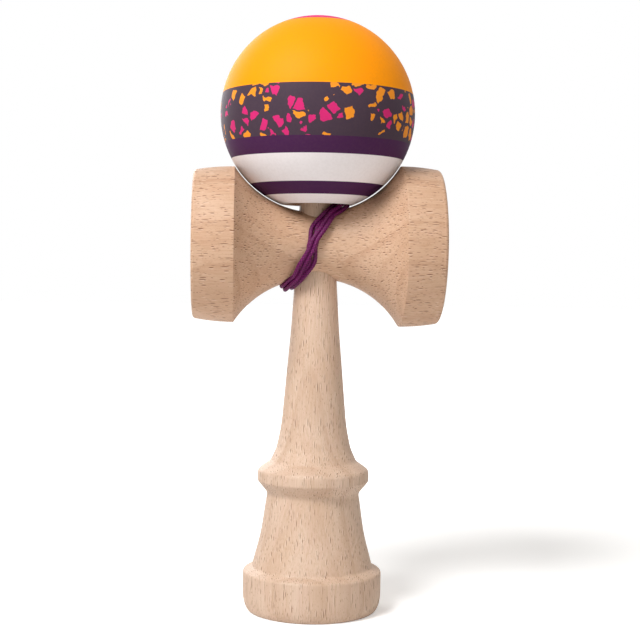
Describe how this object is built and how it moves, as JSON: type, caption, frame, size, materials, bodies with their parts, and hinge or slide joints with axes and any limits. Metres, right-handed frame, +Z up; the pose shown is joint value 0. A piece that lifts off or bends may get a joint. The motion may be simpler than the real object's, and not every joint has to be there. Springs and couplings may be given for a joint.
{
  "type": "kendama",
  "caption": "Wooden cup-and-ball toy: a turned spike handle with a base cup, a crosspiece with a cup at each end, and a bored, banded ball on a string wound round the crosspiece.",
  "frame": {"origin": "on the floor under the handle's axis, at the middle of the base's rim", "axes": "+Z up the handle to the spike's tip, +X along the crosspiece to the big cup, -Y to the front that the picture shows"},
  "size_m": [0.076, 0.0617, 0.1854],
  "materials": {
    "handle_wood": "sanded pale beech, matte",
    "crosspiece_wood": "sanded pale beech, matte",
    "ball_paint": "satin paint in bands over wood",
    "bead_wood": "bare wood, matte",
    "string": "braided dyed cord"
  },
  "bodies": {
    "handle": {"ken_handle": "handle_wood", "sara_crosspiece": "crosspiece_wood", "handle_knot": "string", "string_winding": "string", "string_drop": "string"},
    "bead": {"bead": "bead_wood", "bead_knot": "string", "string_end": "string"},
    "ball": {"tama_ball": "ball_paint"}
  },
  "joints": [
    {"name": "ball_lift", "type": "slide", "parent": "handle", "child": "bead", "axis": [0, 0, 1], "range_m": [0, 0.045], "deforming": ["string_drop"]},
    {"name": "ball_spin", "type": "hinge", "parent": "bead", "child": "ball", "pos_m": [0, 0, 0.1539], "axis": [0, 0, 1], "continuous": true}
  ]
}
